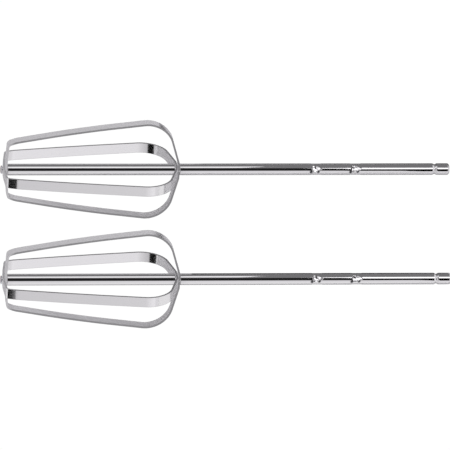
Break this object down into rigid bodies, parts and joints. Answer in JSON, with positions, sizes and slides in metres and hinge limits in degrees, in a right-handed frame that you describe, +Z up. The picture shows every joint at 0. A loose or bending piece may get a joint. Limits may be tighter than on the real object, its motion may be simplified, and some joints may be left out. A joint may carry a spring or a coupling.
{
  "type": "hand mixer beater pair",
  "caption": "Matched flat-blade beaters for an electric hand mixer: each has a straight shaft with drive ears and a riveted cage of chromed strips that whips and mixes food.",
  "frame": {"origin": "centre of the pair on the surface it lies on", "axes": "+X along the shafts, towards the drive ends; +Y towards the rear beater; +Z up from the surface"},
  "size_m": [0.1958, 0.0848, 0.036],
  "materials": {
    "rear_beater_shaft": "polished chrome plate",
    "rear_beater_inner_blade": "polished chrome plate",
    "rear_beater_outer_blade": "polished chrome plate",
    "front_beater_shaft": "polished chrome plate",
    "front_beater_inner_blade": "polished chrome plate",
    "front_beater_outer_blade": "polished chrome plate"
  },
  "bodies": {
    "rear_beater": {"rear_beater_shaft": "rear_beater_shaft", "rear_beater_inner_blade": "rear_beater_inner_blade", "rear_beater_outer_blade": "rear_beater_outer_blade"},
    "front_beater": {"front_beater_shaft": "front_beater_shaft", "front_beater_inner_blade": "front_beater_inner_blade", "front_beater_outer_blade": "front_beater_outer_blade"}
  },
  "joints": [
    {"name": "front_beater_lift", "type": "slide", "parent": "rear_beater", "child": "front_beater", "axis": [0, 0, 1], "range_m": [0, 0.06]}
  ]
}
